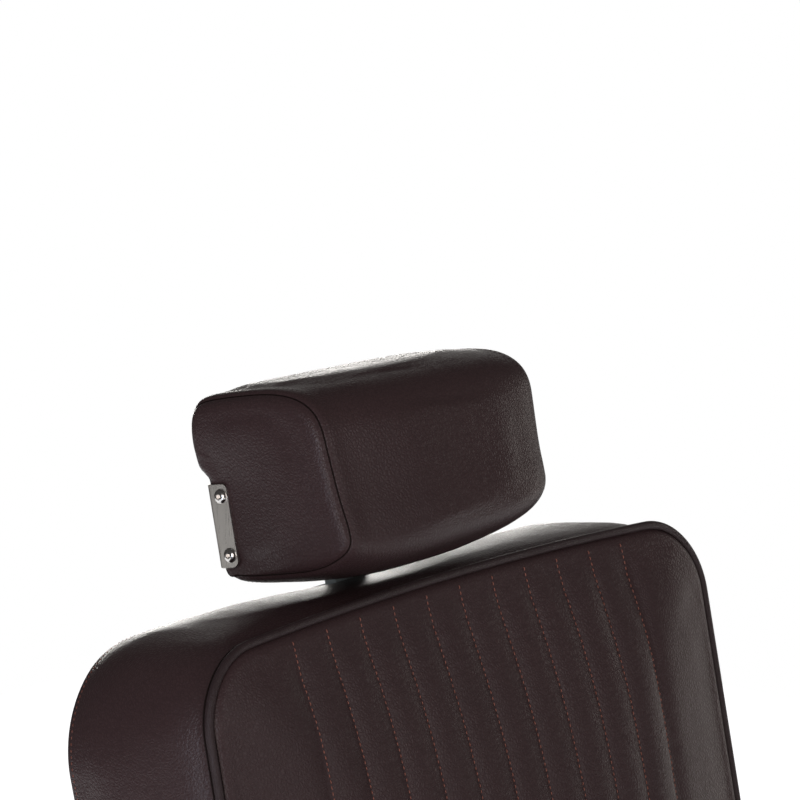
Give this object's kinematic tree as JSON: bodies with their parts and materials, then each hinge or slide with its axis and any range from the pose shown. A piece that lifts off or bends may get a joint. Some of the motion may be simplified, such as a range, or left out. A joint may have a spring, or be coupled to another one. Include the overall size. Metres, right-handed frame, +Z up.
{
  "type": "barber chair",
  "caption": "Hydraulic barber chair with a reclining channelled back, sliding tilting headrest, linked legrest, folding footplate and chrome arm loops.",
  "frame": {"origin": "on the floor at the swivel axis, at the middle of the floor plate's underside", "axes": "+Z up, -Y towards the chair's front, +X across to the right of a viewer in front of it"},
  "size_m": [0.673, 0.9948, 1.1961],
  "materials": {
    "leather_on_foam": "satin",
    "leather": "satin",
    "chrome": "polished",
    "brushed_steel": "satin",
    "zinc_steel": "satin",
    "black_steel": "satin",
    "rubber": "matte",
    "plywood": "matte",
    "bronze": "satin",
    "aluminium": "satin",
    "black_plastic": "gloss"
  },
  "bodies": {
    "base": {"base_plate": "black_steel", "base_ring": "rubber", "base_cover": "chrome", "pump_housing": "chrome", "pump_collar": "chrome", "pump_gland": "chrome", "flange_bolts": "zinc_steel", "lever_bracket": "chrome"},
    "pump_lever": {"pump_lever_arm": "chrome", "pump_lever_pin": "zinc_steel", "pump_lever_pad": "rubber"},
    "ram": {"lift_ram": "chrome", "lift_piston": "zinc_steel", "piston_seal": "rubber", "thrust_bearing": "zinc_steel"},
    "seat": {"swivel_hub": "black_steel", "hub_bolts": "zinc_steel", "side_rail_left": "black_steel", "side_rail_right": "black_steel", "cross_tubes": "black_steel", "side_plate_left": "black_steel", "side_plate_right": "black_steel", "back_shaft": "zinc_steel", "legrest_shaft": "zinc_steel", "seat_board": "plywood", "seat_cushion": "leather_on_foam", "side_panel_left": "leather", "side_panel_right": "leather", "arm_loop_left": "chrome", "arm_loop_right": "chrome", "arm_pad_left": "leather_on_foam", "arm_pad_right": "leather_on_foam", "arm_bolts": "chrome", "recline_cylinder": "zinc_steel"},
    "release": {"release_lever": "chrome", "release_knob": "black_plastic"},
    "back": {"back_arm_left": "black_steel", "back_arm_right": "black_steel", "pivot_bushes": "bronze", "back_cross_tubes": "black_steel", "back_board": "plywood", "back_cushion": "leather_on_foam", "back_rear_panel": "leather", "headrest_guide": "brushed_steel"},
    "rod": {"recline_rod": "chrome"},
    "link": {"sync_link": "zinc_steel"},
    "legrest": {"legrest_arm_left": "black_steel", "legrest_arm_right": "black_steel", "legrest_bars": "black_steel", "legrest_board": "plywood", "legrest_pad": "leather_on_foam", "foot_hinge_pin": "zinc_steel"},
    "footrest": {"footplate": "aluminium", "foot_tread": "rubber"},
    "headrest_post": {"headrest_bar": "brushed_steel"},
    "headrest": {"headrest_cushion": "leather_on_foam", "headrest_bracket": "brushed_steel", "headrest_screws": "zinc_steel", "headrest_pin": "zinc_steel"}
  },
  "joints": [
    {"name": "pump_stroke", "type": "hinge", "parent": "base", "child": "pump_lever", "pos_m": [0, 0.075, 0.115], "axis": [-1, 0, 0], "range_deg": [0, 22], "stiffness_Nm_per_rad": 4, "springref_deg": -22.92},
    {"name": "lift", "type": "slide", "parent": "base", "child": "ram", "axis": [0, 0, 1], "range_m": [0, 0.15]},
    {"name": "swivel", "type": "hinge", "parent": "ram", "child": "seat", "pos_m": [0, 0, 0.3223], "axis": [0, 0, 1], "continuous": true},
    {"name": "recline", "type": "hinge", "parent": "seat", "child": "back", "pos_m": [0, 0.245, 0.4253], "axis": [-1, 0, 0], "range_deg": [0, 50]},
    {"name": "rod_slide", "type": "slide", "parent": "seat", "child": "rod", "axis": [0, -1, 0], "range_m": [0, 0.0592]},
    {"name": "link_swing", "type": "hinge", "parent": "back", "child": "link", "pos_m": [0, 0.27458, 0.36186], "axis": [-1, 0, 0], "range_deg": [-50, 0]},
    {"name": "legrest_raise", "type": "hinge", "parent": "seat", "child": "legrest", "pos_m": [0, -0.24, 0.3763], "axis": [-1, 0, 0], "range_deg": [0, 50]},
    {"name": "footplate_fold", "type": "hinge", "parent": "legrest", "child": "footrest", "pos_m": [0, -0.39216, 0.07518], "axis": [-1, 0, 0], "range_deg": [0, 65]},
    {"name": "release_pull", "type": "hinge", "parent": "seat", "child": "release", "pos_m": [0, 0.02, 0.3763], "axis": [-1, 0, 0], "range_deg": [0, 18], "stiffness_Nm_per_rad": 1.2, "springref_deg": -34.38},
    {"name": "headrest_slide", "type": "slide", "parent": "back", "child": "headrest_post", "axis": [0, 0.2079, 0.9781], "range_m": [0, 0.11]},
    {"name": "headrest_tilt", "type": "hinge", "parent": "headrest_post", "child": "headrest", "pos_m": [0, 0.42259, 1.09869], "axis": [-1, 0, 0], "range_deg": [0, 38]}
  ],
  "couplings": [
    {"joint": "rod_slide", "follows": "recline", "m_per_rad": 0.0678},
    {"joint": "link_swing", "follows": "recline", "ratio": -1},
    {"joint": "legrest_raise", "follows": "recline", "ratio": 1}
  ]
}
